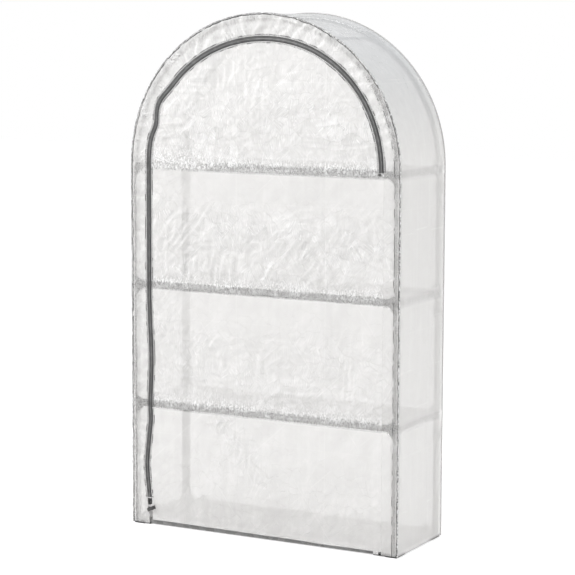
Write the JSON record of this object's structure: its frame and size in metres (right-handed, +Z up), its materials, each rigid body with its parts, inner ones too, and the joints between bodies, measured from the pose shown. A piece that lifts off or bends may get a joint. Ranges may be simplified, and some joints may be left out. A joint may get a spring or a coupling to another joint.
{
  "type": "arch-topped shelf greenhouse",
  "caption": "Free-standing steel shelf rack inside a clear arch-topped film cover, with a zipped front door that folds to one side.",
  "frame": {"origin": "on the floor, under the middle of the rack's footprint", "axes": "+Z up; the front with the door faces -Y; +X to the right seen from the front"},
  "size_m": [0.8008, 0.2786, 1.3854],
  "materials": {
    "galvanised_steel": "galvanised sheet, satin",
    "arch_steel": "galvanised tube, satin",
    "fastener_steel": "zinc plated",
    "foot_plastic": "black moulded, matt",
    "joint_plastic": "grey moulded, matt",
    "cover_film": "clear flexible film, glossy and creased",
    "piping": "milky welded cord",
    "strap_film": "milky film",
    "zip_tape": "woven polyester",
    "zip_teeth": "nylon coil",
    "zip_metal": "dull painted zinc",
    "tab_plastic": "grey, satin"
  },
  "bodies": {
    "frame": {"arch_connectors": "joint_plastic", "arch_plugs": "joint_plastic", "back_arch_left": "arch_steel", "back_arch_middle": "arch_steel", "back_arch_right": "arch_steel", "back_left_arch_post": "galvanised_steel", "back_left_foot": "foot_plastic", "back_left_lower_leg": "galvanised_steel", "back_left_middle_leg": "galvanised_steel", "back_left_upper_leg": "galvanised_steel", "back_right_arch_post": "galvanised_steel", "back_right_foot": "foot_plastic", "back_right_lower_leg": "galvanised_steel", "back_right_middle_leg": "galvanised_steel", "back_right_upper_leg": "galvanised_steel", "bottom_shelf": "galvanised_steel", "front_arch_left": "arch_steel", "front_arch_middle": "arch_steel", "front_arch_right": "arch_steel", "front_left_arch_post": "galvanised_steel", "front_left_foot": "foot_plastic", "front_left_lower_leg": "galvanised_steel", "front_left_middle_leg": "galvanised_steel", "front_left_upper_leg": "galvanised_steel", "front_right_arch_post": "galvanised_steel", "front_right_foot": "foot_plastic", "front_right_lower_leg": "galvanised_steel", "front_right_middle_leg": "galvanised_steel", "front_right_upper_leg": "galvanised_steel", "left_cross_rod": "arch_steel", "leg_sleeves": "joint_plastic", "lower_shelf": "galvanised_steel", "middle_shelf": "galvanised_steel", "right_cross_rod": "arch_steel", "shelf_bolts": "fastener_steel", "shelf_nuts": "fastener_steel", "top_shelf": "galvanised_steel"},
    "cover": {"front_panel": "cover_film", "back_panel": "cover_film", "left_side_panel": "cover_film", "right_side_panel": "cover_film", "roof_panel": "cover_film", "front_piping": "piping", "back_piping": "piping", "cover_zip_tape": "zip_tape", "cover_zip_teeth": "zip_teeth", "zip_bottom_stop": "zip_metal", "front_left_strap": "strap_film", "front_right_strap": "strap_film", "back_left_strap": "strap_film", "back_right_strap": "strap_film"},
    "door": {"door_panel": "cover_film", "door_zip_tape": "zip_tape", "door_zip_teeth": "zip_teeth", "zip_top_stop": "zip_metal"},
    "zip_slider": {"zip_slider_body": "zip_metal"},
    "zip_link": {"pull_link": "zip_metal"},
    "zip_tab": {"pull_tab": "tab_plastic", "pull_rivet": "zip_metal"}
  },
  "joints": [
    {"name": "cover_lift", "type": "slide", "parent": "frame", "child": "cover", "axis": [0, 0, 1], "range_m": [0, 1.42], "deforming": ["back_left_strap", "back_right_strap", "front_left_strap", "front_right_strap"]},
    {"name": "door_swing", "type": "hinge", "parent": "cover", "child": "door", "pos_m": [0.352, -0.1338, 0.5], "axis": [0, 0, 1], "range_deg": [0, 160]},
    {"name": "zip_slide", "type": "slide", "parent": "cover", "child": "zip_slider", "axis": [0, 0, 1], "range_m": [0, 0.9]},
    {"name": "pull_link_tilt", "type": "hinge", "parent": "zip_slider", "child": "zip_link", "pos_m": [-0.345, -0.1392, 0.066], "axis": [-1, 0, 0], "range_deg": [0, 165]},
    {"name": "pull_tab_swing", "type": "hinge", "parent": "zip_link", "child": "zip_tab", "pos_m": [-0.345, -0.1409, 0.043], "axis": [0, 1, 0], "range_deg": [-25, 255]}
  ]
}
